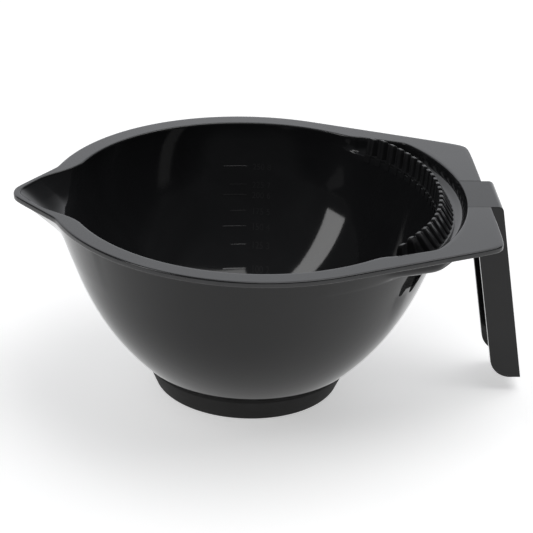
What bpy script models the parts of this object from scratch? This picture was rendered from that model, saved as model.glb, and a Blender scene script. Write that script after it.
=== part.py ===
"""Hair color bowl: a spouted mixing bowl with a brush comb, a hooked handle and a non-slip base.

The origin lies on the bench under the bowl's axis, with +Z up and +X towards the handle.
Lengths are in metres and angles in radians.
"""

import math

import bmesh
import bpy

MM = 0.001
DEGREE = math.radians(1)
GAP = 0.3 * MM

# Bowl, in depths below the rim's flat top.
RIM_HEIGHT = 70.7 * MM
RIM_RADIUS = 70 * MM
RIM_THICKNESS = 2.0 * MM
RIM_EDGE = 0.5 * MM
MOUTH_RADIUS = 63.3 * MM
HOLLOW_DEPTH = 64.7 * MM
HOLLOW_DEPTH_POWER = 1.8
HOLLOW_RADIUS_POWER = 2.4
WALL_TOP_RADIUS = 68.6 * MM
WALL_FLARE = 0.3
WALL_TURN_IN = 14.5 * MM
WALL_TURN_DEPTH = 62 * MM
WALL_TURN_POWER = 3.4
WALL_DEPTH = 60.95 * MM
WALL_STRAIGHT_DEPTH = 20 * MM
FOOT_RADIUS = 29.7 * MM
FOOT_BOTTOM = 2.6 * MM

# Flat plate that widens the rim towards the handle.
PLATE_END = 80.6 * MM
PLATE_SIDE_ANGLE = 68.2 * DEGREE
PLATE_CORNER_BLEND = 3.3 * MM

# Sunken pocket behind the comb.
POCKET_RADIUS = 73.15 * MM
POCKET_SIDE_ANGLE = 72.8 * DEGREE
POCKET_SIDE_DISTANCE = 60.2 * MM
POCKET_CORNER_BLEND = 1.2 * MM
POCKET_END_BLEND = 1 * MM
POCKET_DEPTH = 5.5 * MM
POCKET_COVE = 3.6 * MM
POCKET_FULL_WIDTH = 2 * MM
LEDGE_EDGE = 0.6 * MM
POCKET_WALL = 3.0 * MM
BULGE_DEPTH = 7.9 * MM
BULGE_ROUNDING = 3.6 * MM
BULGE_BLEND = 1 * MM

# Pouring spout: a shallow cone that runs down into the wall.
SPOUT_TIP = 81.3 * MM
SPOUT_SIDE_ANGLE = 38.2 * DEGREE
SPOUT_SIDE_DISTANCE = 65.8 * MM
SPOUT_TIP_BLEND = 1.1 * MM
SPOUT_RIM_BLEND = 0.5 * MM
SPOUT_LIP = 3.1 * MM
SPOUT_LIP_DEPTH = 1.5 * MM
SPOUT_KEEL_FOOT = 62 * MM
SPOUT_KEEL_DEPTH = 18.2 * MM
SPOUT_KEEL_BLEND = 2 * MM
SPOUT_CHANNEL_FOOT = 58 * MM
SPOUT_CHANNEL_DEPTH = 19 * MM
SPOUT_CHANNEL_BLEND = 1.5 * MM
SPOUT_CHANNEL_FADE = (9 * DEGREE, 24 * DEGREE)

# Brush comb: teeth in planes along X, on a strip that lies on the pocket's ledge.
TOOTH_PITCH = 3.71 * MM
TOOTH_WIDTH = 1.85 * MM
TEETH_EACH_SIDE = 12
COMB_END_ANGLE = 45.5 * DEGREE
COMB_TOP = 2.5 * MM
COMB_FRONT = 63.5 * MM
COMB_CREST = (63.7 * MM, 64.6 * MM)
COMB_BACK = 68.5 * MM
COMB_COVE_CLEARANCE = 0.9 * MM
COMB_STEPS = 24
STRIP_THICKNESS = 0.8 * MM

# Handle: a channel that hangs from a tongue let into the plate.
HANDLE_WIDTH = 22 * MM
HANDLE_WALL = 2.2 * MM
HANDLE_BOTTOM = 5.7 * MM
HANDLE_TOP_X = 84.4 * MM
HANDLE_TOP_ROUNDING = 2 * MM
HANDLE_LEAN = 0.171
HANDLE_EDGE = 0.5 * MM
CHEEK_DEPTH = 10 * MM
CHEEK_CORNER = 5.5 * MM
CHEEK_SHOULDER = 56 * MM
CHEEK_SHOULDER_ROUNDING = 3 * MM
CHEEK_TOP_DEPTH = 6 * MM
CHANNEL_ROOF = 2.6 * MM
NOTCH_START = 76.3 * MM
TONGUE_THICKNESS = 1.0 * MM

# Non-slip base: a rubber cup that the foot sits in.
BASE_TOP_RADIUS = 35.4 * MM
BASE_HEIGHT = 9.4 * MM
BASE_TREAD_RADIUS = 31.0 * MM
BASE_TREAD_ROUNDING = 1.4 * MM
BASE_EDGE = 0.5 * MM
BASE_FLOOR = 2.3 * MM
BASE_STEPS = 72
GROOVE_INNER = 22 * MM
GROOVE_OUTER = 25 * MM
GROOVE_DEPTH = 0.8 * MM

# How far a cutter reaches past the material that it cuts.
CUT_MARGIN = 5 * MM

PARTS = "hair_color_bowl"
CUTTERS = "cutters"


def smooth_max(a, b, blend):
    return (a + b + math.hypot(a - b, blend)) / 2


def smooth_min(a, b, blend):
    return (a + b - math.hypot(a - b, blend)) / 2


def fade(value, low, high):
    """1 below low, 0 above high, and a smooth step between them."""
    x = min(max((value - low) / (high - low), 0), 1)
    return 1 - x * x * (3 - 2 * x)


def straight_side(distance, normal_angle, angle):
    """Polar radius, at this angle, of a straight line that lies this far from the axis."""
    return distance / math.cos(normal_angle - angle)


def spout_section(from_spout, tip, side_distance):
    """Polar radius of the spout's pointed outline, at an angle measured from its centre line."""
    if from_spout > SPOUT_SIDE_ANGLE:
        return 0
    side = straight_side(side_distance, SPOUT_SIDE_ANGLE, from_spout)
    return smooth_min(side, tip / math.cos(from_spout), SPOUT_TIP_BLEND)


def spout_outside(from_spout, depth):
    shrink = 1 - max(depth - SPOUT_LIP_DEPTH, 0) / (SPOUT_KEEL_DEPTH - SPOUT_LIP_DEPTH)
    foot_side = SPOUT_KEEL_FOOT * math.cos(SPOUT_SIDE_ANGLE)
    tip = SPOUT_KEEL_FOOT + shrink * (SPOUT_TIP - SPOUT_KEEL_FOOT)
    return spout_section(from_spout, tip, foot_side + shrink * (SPOUT_SIDE_DISTANCE - foot_side))


def spout_inside(from_spout, depth):
    shrink = 1 - depth / SPOUT_CHANNEL_DEPTH
    foot_side = SPOUT_CHANNEL_FOOT * math.cos(SPOUT_SIDE_ANGLE)
    tip = SPOUT_CHANNEL_FOOT + shrink * (SPOUT_TIP - SPOUT_LIP - SPOUT_CHANNEL_FOOT)
    side = foot_side + shrink * (SPOUT_SIDE_DISTANCE - SPOUT_LIP - foot_side)
    return spout_section(from_spout, tip, side)


def pocket_outline(side_angle, grow):
    """Polar radius of the pocket's wall, moved out by grow."""
    if side_angle > POCKET_SIDE_ANGLE:
        return 0
    side = straight_side(POCKET_SIDE_DISTANCE + grow, POCKET_SIDE_ANGLE, side_angle)
    return smooth_min(side, POCKET_RADIUS + grow, POCKET_CORNER_BLEND)


def rim_radius(angle):
    """Polar radius of the rim's outer edge."""
    side_angle = abs(angle)
    if side_angle < PLATE_SIDE_ANGLE:
        side = straight_side(RIM_RADIUS, PLATE_SIDE_ANGLE, side_angle)
        return smooth_min(side, PLATE_END / math.cos(side_angle), PLATE_CORNER_BLEND)
    return smooth_max(RIM_RADIUS, spout_outside(math.pi - side_angle, 0), SPOUT_RIM_BLEND)


def wall_radius(depth):
    """Outer radius of the plain wall: a straight flare that turns in towards the foot."""
    turn_in = WALL_TURN_IN * (depth / WALL_TURN_DEPTH) ** WALL_TURN_POWER
    return WALL_TOP_RADIUS - WALL_FLARE * depth - turn_in


def hollow_radius(depth):
    """Inner radius of the plain hollow, a flattened superellipse."""
    share = 1 - (depth / HOLLOW_DEPTH) ** HOLLOW_DEPTH_POWER
    return MOUTH_RADIUS * share ** (1 / HOLLOW_RADIUS_POWER)


def outside_radius(angle, depth):
    """Outer radius of the wall with the spout and the pocket's bulge."""
    side_angle = abs(angle)
    radius = wall_radius(depth)
    if depth <= SPOUT_KEEL_DEPTH:
        keel = spout_outside(math.pi - side_angle, depth)
        radius = smooth_max(radius, keel, SPOUT_KEEL_BLEND)
    if depth <= BULGE_DEPTH:
        drop = max(depth - (BULGE_DEPTH - BULGE_ROUNDING), 0)
        inset = BULGE_ROUNDING * (1 - math.sqrt(max(1 - (drop / BULGE_ROUNDING) ** 2, 0)))
        bulge = pocket_outline(side_angle, POCKET_WALL) - inset
        radius = smooth_max(radius, bulge, BULGE_BLEND)
    return min(radius, rim_radius(angle) - 2 * RIM_EDGE)


def inside_radius(angle, depth):
    """Inner radius of the hollow with the spout's channel."""
    radius = hollow_radius(depth)
    from_spout = math.pi - abs(angle)
    if depth > SPOUT_CHANNEL_DEPTH:
        return radius
    channel = smooth_max(radius, spout_inside(from_spout, depth), SPOUT_CHANNEL_BLEND)
    return radius + (channel - radius) * fade(from_spout, *SPOUT_CHANNEL_FADE)


def pocket_shape(angle):
    """The pocket's outer radius at its mouth, and the radius of the cove at its foot."""
    mouth = smooth_max(MOUTH_RADIUS, pocket_outline(abs(angle), 0), POCKET_END_BLEND)
    widest_cove = 0.6 * (mouth - MOUTH_RADIUS)
    return mouth, min(POCKET_COVE, widest_cove)


def pocket_section(angle):
    """(radius, depth) pairs from the rim's inner edge down to the hollow's wall under the ledge."""
    lowest = POCKET_DEPTH + LEDGE_EDGE
    depths = [RIM_EDGE + (lowest - RIM_EDGE) * step / 7 for step in range(8)]
    plain = [(inside_radius(angle, depth), depth) for depth in depths]
    mouth, cove = pocket_shape(angle)
    width = mouth - MOUTH_RADIUS
    edge = min(LEDGE_EDGE, 0.2 * width)
    pocket = [(mouth, RIM_EDGE), (mouth, (POCKET_DEPTH + RIM_EDGE - cove) / 2)]
    for turn in (0, 30 * DEGREE, 60 * DEGREE, 90 * DEGREE):
        radius = mouth - cove + cove * math.cos(turn)
        pocket.append((radius, POCKET_DEPTH - cove + cove * math.sin(turn)))
    pocket.append((hollow_radius(POCKET_DEPTH) + edge, POCKET_DEPTH))
    pocket.append((hollow_radius(lowest), lowest))
    share = min(width / POCKET_FULL_WIDTH, 1)
    return [
        (r0 + share * (r1 - r0), d0 + share * (d1 - d0))
        for (r0, d0), (r1, d1) in zip(plain, pocket)
    ]


def bowl_section(angle):
    """(radius, depth) pairs of the bowl's wall, from its foot, over the rim, to its floor."""
    section = [(FOOT_RADIUS, RIM_HEIGHT - FOOT_BOTTOM), (FOOT_RADIUS, WALL_DEPTH)]
    curved = WALL_DEPTH - WALL_STRAIGHT_DEPTH
    depths = [WALL_DEPTH - curved * step / 7 for step in range(8)]
    depths += [depth * MM for depth in (16, 12, 9)]
    depths += [BULGE_DEPTH - share * BULGE_ROUNDING for share in (0, 0.1, 0.3, 0.65, 1.15)]
    depths.append(RIM_THICKNESS)
    for depth in depths:
        section.append((outside_radius(angle, depth), depth))
    rim = rim_radius(angle)
    section += [
        (rim - RIM_EDGE, RIM_THICKNESS),
        (rim, RIM_THICKNESS - RIM_EDGE),
        (rim, RIM_EDGE),
        (rim - 0.3 * RIM_EDGE, 0.3 * RIM_EDGE),
        (rim - RIM_EDGE, 0),
    ]
    inner = pocket_section(angle)
    mouth = inner[0][0]
    section += [(mouth + RIM_EDGE, 0), (mouth + 0.3 * RIM_EDGE, 0.3 * RIM_EDGE)]
    section += inner
    for turn in (16, 25, 33, 42, 50, 59, 67, 76, 84):
        depth = HOLLOW_DEPTH * math.sin(turn * DEGREE) ** (2 / HOLLOW_DEPTH_POWER)
        section.append((inside_radius(angle, depth), depth))
    return section


def comb_section(angle):
    """(radius, depth) pairs of the comb's strip and ridge, kept clear of the pocket's cove."""
    mouth, cove = pocket_shape(angle)
    back = min(COMB_BACK, mouth - cove - COMB_COVE_CLEARANCE)
    strip_bottom = POCKET_DEPTH - GAP
    strip_top = strip_bottom - STRIP_THICKNESS
    return [
        (COMB_FRONT, strip_bottom),
        (back + GAP, strip_bottom),
        (back + GAP, strip_top),
        (back, strip_top),
        (min(COMB_CREST[1], back - GAP), -COMB_TOP),
        (COMB_CREST[0], -COMB_TOP),
    ]


def bowl_angles():
    """Angles of the bowl's sections, closer together along the plate and the spout."""
    half = [0]
    while half[-1] < 180:
        spacing = 3 if half[-1] < 72 else 6 if half[-1] < 156 else 2
        half.append(half[-1] + spacing)
    return [angle * DEGREE for angle in half] + [-angle * DEGREE for angle in half[-2:0:-1]]


def add_object(name, mesh, collection):
    obj = bpy.data.objects.new(name, mesh)
    bpy.data.collections[collection].objects.link(obj)
    return obj


def finish_mesh(name, shape, collection, sharp=35 * DEGREE):
    """Turn a bmesh into a smooth-shaded object with its faces pointing out."""
    bmesh.ops.recalc_face_normals(shape, faces=shape.faces)
    mesh = bpy.data.meshes.new(name)
    shape.to_mesh(mesh)
    shape.free()
    mesh.shade_smooth()
    mesh.set_sharp_from_angle(angle=sharp)
    return add_object(name, mesh, collection)


def add_cutter(name, shape):
    cutter = finish_mesh(name, shape, CUTTERS)
    cutter.hide_render = True
    cutter.display_type = "WIRE"
    return cutter


def cut(obj, cutter):
    boolean = obj.modifiers.new(cutter.name, "BOOLEAN")
    boolean.operation = "DIFFERENCE"
    boolean.solver = "EXACT"
    boolean.object = cutter


def add_bevel(obj, width, segments):
    bevel = obj.modifiers.new("edges", "BEVEL")
    bevel.width = width
    bevel.segments = segments
    bevel.limit_method = "ANGLE"
    bevel.angle_limit = 40 * DEGREE
    bevel.use_clamp_overlap = True


def give_material(obj, name, color, roughness, metallic=0.0):
    material = bpy.data.materials.new(name)
    material.use_nodes = True
    shader = material.node_tree.nodes["Principled BSDF"]
    shader.inputs["Base Color"].default_value = (*color, 1)
    shader.inputs["Roughness"].default_value = roughness
    shader.inputs["Metallic"].default_value = metallic
    obj.data.materials.append(material)


def box(low, high):
    """A bmesh box between two corners."""
    shape = bmesh.new()
    bmesh.ops.create_cube(shape, size=1)
    size = [b - a for a, b in zip(low, high)]
    middle = [(a + b) / 2 for a, b in zip(low, high)]
    bmesh.ops.scale(shape, vec=size, verts=shape.verts)
    bmesh.ops.translate(shape, vec=middle, verts=shape.verts)
    return shape


def turned(name, profile):
    """A closed solid of revolution of a profile that starts and ends on the axis."""
    mesh = bpy.data.meshes.new(name)
    edges = [(i, i + 1) for i in range(len(profile) - 1)]
    mesh.from_pydata([(r, 0, z) for r, z in profile], edges, [])
    obj = add_object(name, mesh, PARTS)
    screw = obj.modifiers.new("turn", "SCREW")
    screw.steps = BASE_STEPS
    screw.render_steps = BASE_STEPS
    screw.use_merge_vertices = True
    screw.merge_threshold = 0.0000001
    screw.use_smooth_shade = True
    return obj


def rounded_outline(corners):
    """Points of an outline whose corners are (x, z, rounding radius)."""
    points = []
    for i, (x, z, radius) in enumerate(corners):
        if radius == 0:
            points.append((x, z))
            continue
        before, after = corners[i - 1], corners[(i + 1) % len(corners)]
        to_before = math.atan2(before[1] - z, before[0] - x)
        to_after = math.atan2(after[1] - z, after[0] - x)
        opening = (to_after - to_before + math.pi) % (2 * math.pi) - math.pi
        middle = to_before + opening / 2
        reach = radius / math.sin(abs(opening) / 2)
        cx, cz = x + reach * math.cos(middle), z + reach * math.sin(middle)
        sweep = math.copysign(math.pi - abs(opening), -opening)
        for step in range(6):
            turn = middle + math.pi + sweep * (step / 5 - 0.5)
            points.append((cx + radius * math.cos(turn), cz + radius * math.sin(turn)))
    return points


def upright_prism(outline, half_width):
    """A bmesh prism of an (x, z) outline, centred on the plane Y = 0."""
    shape = bmesh.new()
    face = shape.faces.new([shape.verts.new((x, -half_width, z)) for x, z in outline])
    swept = bmesh.ops.extrude_face_region(shape, geom=[face])["geom"]
    moved = [item for item in swept if isinstance(item, bmesh.types.BMVert)]
    bmesh.ops.translate(shape, vec=(0, 2 * half_width, 0), verts=moved)
    return shape


def loft(shape, angles, section, closed):
    """Join the same number of points round each section; returns the columns of vertices."""
    columns = []
    for angle in angles:
        column = []
        for radius, depth in section(angle):
            place = (radius * math.cos(angle), radius * math.sin(angle), RIM_HEIGHT - depth)
            column.append(shape.verts.new(place))
        columns.append(column)
    neighbours = columns[1:] + columns[:1] if closed else columns[1:]
    for this, following in zip(columns, neighbours):
        for row in range(len(this) - 1):
            shape.faces.new((this[row], following[row], following[row + 1], this[row + 1]))
    return columns


def make_bowl():
    shape = bmesh.new()
    columns = loft(shape, bowl_angles(), bowl_section, closed=True)
    for row in (0, -1):
        ring = shape.faces.new([column[row] for column in columns])
        bmesh.ops.poke(shape, faces=[ring])
    bowl = finish_mesh("bowl", shape, PARTS, 30 * DEGREE)
    give_material(bowl, "black_bowl_plastic", (0.035, 0.036, 0.038), 0.3)

    half_notch = HANDLE_WIDTH / 2 + GAP
    above = RIM_HEIGHT + CUT_MARGIN
    under_plate = RIM_HEIGHT - RIM_THICKNESS - RIM_EDGE
    notch = box((NOTCH_START, -half_notch, under_plate), (PLATE_END + CUT_MARGIN, half_notch, above))
    cut(bowl, add_cutter("handle_notch", notch))
    seat_floor = RIM_HEIGHT - TONGUE_THICKNESS - GAP
    seat_end = NOTCH_START + RIM_EDGE
    seat = box((MOUTH_RADIUS, -half_notch, seat_floor), (seat_end, half_notch, above))
    cut(bowl, add_cutter("tongue_seat", seat))


def make_comb():
    shape = bmesh.new()
    angles = [COMB_END_ANGLE * (2 * step / COMB_STEPS - 1) for step in range(COMB_STEPS + 1)]
    columns = loft(shape, angles, comb_section, closed=False)
    for this, following in zip(columns, columns[1:]):
        shape.faces.new((this[-1], following[-1], following[0], this[0]))
    shape.faces.new(columns[0])
    shape.faces.new(columns[-1])
    comb = finish_mesh("brush_comb", shape, PARTS)
    give_material(comb, "black_comb_plastic", (0.03, 0.03, 0.032), 0.3)

    slots = bmesh.new()
    strip_top = RIM_HEIGHT - POCKET_DEPTH + GAP + STRIP_THICKNESS
    slot_size = (POCKET_RADIUS, TOOTH_PITCH - TOOTH_WIDTH, 2 * POCKET_DEPTH)
    for number in range(-TEETH_EACH_SIDE, TEETH_EACH_SIDE):
        middle = (number + 0.5) * TOOTH_PITCH
        made = bmesh.ops.create_cube(slots, size=1)["verts"]
        bmesh.ops.scale(slots, vec=slot_size, verts=made)
        above_strip = (COMB_FRONT, middle, strip_top + POCKET_DEPTH)
        bmesh.ops.translate(slots, vec=above_strip, verts=made)
    cut(comb, add_cutter("comb_slots", slots))


def make_handle():
    def outer_x(z):
        return HANDLE_TOP_X + HANDLE_LEAN * (RIM_HEIGHT - z)

    def inner_x(z):
        return outer_x(z) - CHEEK_DEPTH

    tongue_start = POCKET_RADIUS + GAP
    cheek_start = NOTCH_START + GAP
    tongue_bottom = RIM_HEIGHT - TONGUE_THICKNESS
    outline = rounded_outline(
        [
            (tongue_start, RIM_HEIGHT, 0),
            (outer_x(RIM_HEIGHT), RIM_HEIGHT, HANDLE_TOP_ROUNDING),
            (outer_x(HANDLE_BOTTOM), HANDLE_BOTTOM, HANDLE_EDGE),
            (inner_x(HANDLE_BOTTOM), HANDLE_BOTTOM, CHEEK_CORNER),
            (inner_x(CHEEK_SHOULDER), CHEEK_SHOULDER, CHEEK_SHOULDER_ROUNDING),
            (cheek_start, RIM_HEIGHT - CHEEK_TOP_DEPTH, 0),
            (cheek_start, tongue_bottom, 0),
            (tongue_start, tongue_bottom, 0),
        ]
    )
    handle = finish_mesh("handle", upright_prism(outline, HANDLE_WIDTH / 2), PARTS)
    give_material(handle, "black_handle_plastic", (0.035, 0.036, 0.038), 0.35)

    channel_top = RIM_HEIGHT - CHANNEL_ROOF
    wall = HANDLE_WALL * math.hypot(1, HANDLE_LEAN)
    below = HANDLE_BOTTOM - CUT_MARGIN
    outline = rounded_outline(
        [
            (MOUTH_RADIUS, channel_top, 0),
            (outer_x(channel_top) - wall, channel_top, HANDLE_TOP_ROUNDING),
            (outer_x(below) - wall, below, 0),
            (MOUTH_RADIUS, below, 0),
        ]
    )
    channel = upright_prism(outline, HANDLE_WIDTH / 2 - HANDLE_WALL)
    cut(handle, add_cutter("handle_channel", channel))
    add_bevel(handle, HANDLE_EDGE, 2)


def make_base():
    bore = FOOT_RADIUS + GAP
    tread = [
        (
            BASE_TREAD_RADIUS + BASE_TREAD_ROUNDING * math.sin(turn * DEGREE),
            BASE_TREAD_ROUNDING * (1 - math.cos(turn * DEGREE)),
        )
        for turn in (75, 50, 25, 0)
    ]
    profile = [
        (0, BASE_FLOOR),
        (bore, BASE_FLOOR),
        (bore, BASE_HEIGHT),
        (BASE_TOP_RADIUS - BASE_EDGE, BASE_HEIGHT),
        (BASE_TOP_RADIUS, BASE_HEIGHT - BASE_EDGE),
        *tread,
        (GROOVE_OUTER, 0),
        (GROOVE_OUTER, GROOVE_DEPTH),
        (GROOVE_INNER, GROOVE_DEPTH),
        (GROOVE_INNER, 0),
        (0, 0),
    ]
    base = turned("nonslip_base", profile)
    give_material(base, "black_rubber", (0.03, 0.028, 0.027), 0.75)


def clear_scene():
    for obj in list(bpy.data.objects):
        bpy.data.objects.remove(obj, do_unlink=True)


def main():
    clear_scene()
    for name in (PARTS, CUTTERS):
        bpy.context.scene.collection.children.link(bpy.data.collections.new(name))
    make_bowl()
    make_comb()
    make_handle()
    make_base()


main()
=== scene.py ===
import math

import bmesh
import bpy
from mathutils import Matrix, Vector


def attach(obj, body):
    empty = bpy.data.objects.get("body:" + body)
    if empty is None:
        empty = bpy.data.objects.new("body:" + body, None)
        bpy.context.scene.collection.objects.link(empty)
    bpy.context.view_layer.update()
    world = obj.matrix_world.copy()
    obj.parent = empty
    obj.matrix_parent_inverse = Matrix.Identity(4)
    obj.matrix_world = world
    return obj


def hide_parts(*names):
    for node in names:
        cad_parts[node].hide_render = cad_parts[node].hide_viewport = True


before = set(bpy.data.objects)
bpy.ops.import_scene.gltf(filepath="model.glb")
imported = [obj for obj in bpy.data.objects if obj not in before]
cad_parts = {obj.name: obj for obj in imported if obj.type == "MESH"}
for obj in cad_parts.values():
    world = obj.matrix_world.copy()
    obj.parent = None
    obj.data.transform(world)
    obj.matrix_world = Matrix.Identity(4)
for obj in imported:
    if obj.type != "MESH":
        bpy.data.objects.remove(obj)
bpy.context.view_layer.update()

# Bowl: one injection moulding in black polypropylene, with a flat rim, a pointed
# pouring spout, and a plate with a sunken pocket towards the handle. The mould's core
# is polished, so the inside is a little glossier than the outside. The rim's top and
# edge are painted a lighter grey: painted light for the overhead light they catch.
MM = 0.001
DEGREE = math.radians(1)

RIM_HEIGHT = 70.7 * MM
RIM_RADIUS = 70 * MM
RIM_THICKNESS = 2.0 * MM
RIM_EDGE = 0.5 * MM
MOUTH_RADIUS = 63.3 * MM
HOLLOW_DEPTH = 64.7 * MM
HOLLOW_DEPTH_POWER = 1.8
HOLLOW_RADIUS_POWER = 2.4
WALL_TOP_RADIUS = 68.6 * MM
WALL_FLARE = 0.3
WALL_TURN_IN = 14.5 * MM
WALL_TURN_DEPTH = 62 * MM
WALL_TURN_POWER = 3.4
WALL_DEPTH = 60.95 * MM
WALL_FOOT_EDGE = 0.6 * MM
FOOT_RADIUS = 29.7 * MM
FOOT_BOTTOM = 2.6 * MM

PLATE_END = 80.6 * MM
PLATE_SIDE_ANGLE = 68.2 * DEGREE
PLATE_CORNER_BLEND = 3.3 * MM

POCKET_RADIUS = 73.15 * MM
POCKET_SIDE_ANGLE = 72.8 * DEGREE
POCKET_SIDE_DISTANCE = 60.2 * MM
POCKET_CORNER_BLEND = 1.2 * MM
POCKET_END_BLEND = 1 * MM
POCKET_DEPTH = 5.5 * MM
POCKET_COVE = 3.6 * MM
POCKET_FULL_WIDTH = 2 * MM
LEDGE_EDGE = 0.2 * MM
POCKET_WALL = 3.0 * MM
BULGE_DEPTH = 7.9 * MM
BULGE_ROUNDING = 3.6 * MM
BULGE_BLEND = 1 * MM

SPOUT_TIP = 81.3 * MM
SPOUT_SIDE_ANGLE = 38.2 * DEGREE
SPOUT_SIDE_DISTANCE = 65.8 * MM
SPOUT_TIP_BLEND = 1.5 * MM
SPOUT_RIM_BLEND = 0.5 * MM
SPOUT_LIP = 2.0 * MM
SPOUT_LIP_DEPTH = 0.7 * MM
SPOUT_KEEL_FOOT = 62 * MM
SPOUT_KEEL_DEPTH = 18.2 * MM
SPOUT_KEEL_BLEND = 2 * MM
SPOUT_CHANNEL_FOOT = 58 * MM
SPOUT_CHANNEL_DEPTH = 19 * MM
SPOUT_CHANNEL_BLEND = 5 * MM
SPOUT_CHANNEL_FADE = (9 * DEGREE, 24 * DEGREE)

HANDLE_NOTCH_START = 76.3 * MM
HANDLE_NOTCH_HALF_WIDTH = 11.22 * MM
HANDLE_NOTCH_DEPTH = 2.5 * MM
TONGUE_SEAT_DEPTH = 1.3 * MM
RECESS_CORNER = 0.1 * MM
CUTTER_OVERRUN = 5 * MM

# Rows of the section: depths up the outer wall, and turns round the edges and the hollow.
FOOT_ROWS = 4
WALL_ROW_DEPTHS = [WALL_DEPTH - WALL_FOOT_EDGE - 40 * MM * step / 24 for step in range(25)]
WALL_ROW_DEPTHS += [(18 - 2 * step) * MM for step in range(5)]
WALL_ROW_DEPTHS += [(9.2 - 0.45 * step) * MM for step in range(16)]
UNDER_RIM_ROWS = 2
UNDER_EDGE_TURNS = (0, 30, 60, 90)
TOP_EDGE_TURNS = (0, 22, 45, 67, 90)
RIM_TOP_SHARES = (0.1, 0.35, 0.65, 0.9)
MOUTH_EDGE_TURNS = (0, 22, 45, 67)
HOLLOW_TURNS = range(9, 88, 3)

# Columns round the bowl, in degrees from the handle: close together at pocket and spout.
POCKET_COLUMNS = (8, 62)
SPOUT_COLUMNS_START = 156
FINE_COLUMN_STEP = 0.5
PLAIN_COLUMN_STEP = 1.5


def smooth_max(a, b, blend):
    return (a + b + math.hypot(a - b, blend)) / 2


def smooth_min(a, b, blend):
    return (a + b - math.hypot(a - b, blend)) / 2


def straight_side(distance, normal_angle, angle):
    """Radius, at this angle, of a straight side that lies this far from the axis."""
    return distance / math.cos(normal_angle - angle)


def spout_outline(from_spout, tip, side_distance):
    """Radius of the spout's two straight sides and blunt tip, or 0 past its sides."""
    if from_spout > SPOUT_SIDE_ANGLE:
        return 0
    side = straight_side(side_distance, SPOUT_SIDE_ANGLE, from_spout)
    return smooth_min(side, tip / math.cos(from_spout), SPOUT_TIP_BLEND)


def spout_outside(from_spout, depth):
    """Radius of the spout's keel, which runs back to the wall as it goes down."""
    shrink = 1 - max(depth - SPOUT_LIP_DEPTH, 0) / (SPOUT_KEEL_DEPTH - SPOUT_LIP_DEPTH)
    foot_side = SPOUT_KEEL_FOOT * math.cos(SPOUT_SIDE_ANGLE)
    tip = SPOUT_KEEL_FOOT + shrink * (SPOUT_TIP - SPOUT_KEEL_FOOT)
    side = foot_side + shrink * (SPOUT_SIDE_DISTANCE - foot_side)
    return spout_outline(from_spout, tip, side)


def spout_inside(from_spout, depth):
    """Radius of the spout's channel, which runs back to the hollow as it goes down."""
    shrink = 1 - depth / SPOUT_CHANNEL_DEPTH
    foot_side = SPOUT_CHANNEL_FOOT * math.cos(SPOUT_SIDE_ANGLE)
    tip = SPOUT_CHANNEL_FOOT + shrink * (SPOUT_TIP - SPOUT_LIP - SPOUT_CHANNEL_FOOT)
    side = foot_side + shrink * (SPOUT_SIDE_DISTANCE - SPOUT_LIP - foot_side)
    return spout_outline(from_spout, tip, side)


def pocket_outline(side_angle, grow):
    """Radius of the pocket's round back and straight ends, grown outwards by a wall."""
    if side_angle > POCKET_SIDE_ANGLE:
        return 0
    side = straight_side(POCKET_SIDE_DISTANCE + grow, POCKET_SIDE_ANGLE, side_angle)
    return smooth_min(side, POCKET_RADIUS + grow, POCKET_CORNER_BLEND)


def rim_radius(angle):
    """Radius of the rim's outer edge: round, with the plate and the spout."""
    side_angle = abs(angle)
    if side_angle < PLATE_SIDE_ANGLE:
        side = straight_side(RIM_RADIUS, PLATE_SIDE_ANGLE, side_angle)
        return smooth_min(side, PLATE_END / math.cos(side_angle), PLATE_CORNER_BLEND)
    return smooth_max(RIM_RADIUS, spout_outside(math.pi - side_angle, 0), SPOUT_RIM_BLEND)


def hollow_radius(depth):
    """Radius of the plain inner wall, a flattened superellipse."""
    share = 1 - (depth / HOLLOW_DEPTH) ** HOLLOW_DEPTH_POWER
    return MOUTH_RADIUS * share ** (1 / HOLLOW_RADIUS_POWER)


def outside_radius(angle, depth):
    """Radius of the outer wall with the spout's keel and the pocket's bulge."""
    side_angle = abs(angle)
    turn_in = WALL_TURN_IN * (depth / WALL_TURN_DEPTH) ** WALL_TURN_POWER
    radius = WALL_TOP_RADIUS - WALL_FLARE * depth - turn_in
    if depth <= SPOUT_KEEL_DEPTH:
        keel = spout_outside(math.pi - side_angle, depth)
        radius = smooth_max(radius, keel, SPOUT_KEEL_BLEND)
    if depth <= BULGE_DEPTH:
        drop = max(depth - (BULGE_DEPTH - BULGE_ROUNDING), 0) / BULGE_ROUNDING
        inset = BULGE_ROUNDING * (1 - math.sqrt(max(1 - drop * drop, 0)))
        bulge = pocket_outline(side_angle, POCKET_WALL) - inset
        radius = smooth_max(radius, bulge, BULGE_BLEND)
    return min(radius, rim_radius(angle) - 2 * RIM_EDGE)


def inside_radius(angle, depth):
    """Radius of the inner wall with the spout's channel."""
    radius = hollow_radius(depth)
    from_spout = math.pi - abs(angle)
    if depth > SPOUT_CHANNEL_DEPTH:
        return radius
    channel = smooth_max(radius, spout_inside(from_spout, depth), SPOUT_CHANNEL_BLEND)
    near, far = SPOUT_CHANNEL_FADE
    away = min(max((from_spout - near) / (far - near), 0), 1)
    return radius + (channel - radius) * (1 - away * away * (3 - 2 * away))


def pocket_shape(angle):
    """Radius of the pocket's wall, and the radius of the cove at its foot."""
    mouth = smooth_max(MOUTH_RADIUS, pocket_outline(abs(angle), 0), POCKET_END_BLEND)
    widest_cove = 0.6 * (mouth - MOUTH_RADIUS)
    return mouth, min(POCKET_COVE, widest_cove)


def shares(steps):
    return [step / steps for step in range(1, steps + 1)]


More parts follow.
